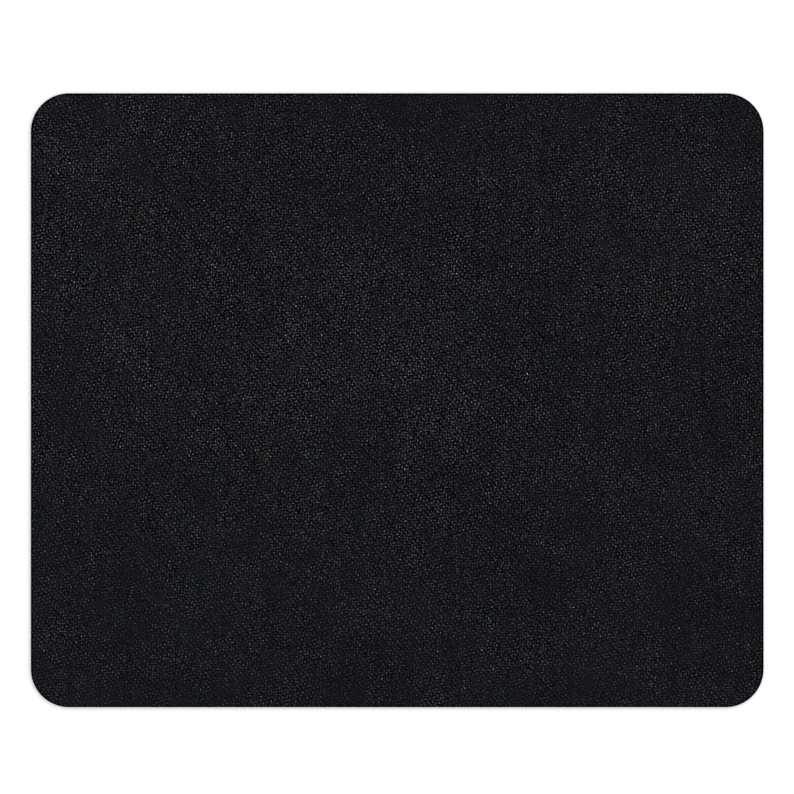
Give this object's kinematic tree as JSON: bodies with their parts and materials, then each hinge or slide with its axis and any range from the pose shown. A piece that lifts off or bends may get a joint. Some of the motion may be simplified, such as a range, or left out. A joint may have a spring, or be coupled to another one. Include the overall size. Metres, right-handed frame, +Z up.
{
  "type": "mouse pad",
  "caption": "Thin rectangular mouse pad with rounded corners: woven cloth top on foamed rubber, with a wave-ribbed non-slip rubber base.",
  "frame": {"origin": "middle of the underside, on the desk", "axes": "+X along the long side to the user's right, +Y along the short side away from the user, +Z up out of the cloth"},
  "size_m": [0.235, 0.1968, 0.0032],
  "materials": {
    "twill_cloth": "woven 2/2 twill of black mixed yarn, matt, with fine bright fibre specks",
    "foam_rubber": "cut foam, matt, with fine pores",
    "bond_film": "thin dark hot-melt film, slightly satin",
    "grip_rubber": "moulded solid rubber, matt, finely textured"
  },
  "bodies": {
    "root": {"grip_base": "grip_rubber", "lower_bond_film": "bond_film", "foam_core": "foam_rubber", "upper_bond_film": "bond_film", "top_cloth": "twill_cloth"}
  },
  "joints": []
}
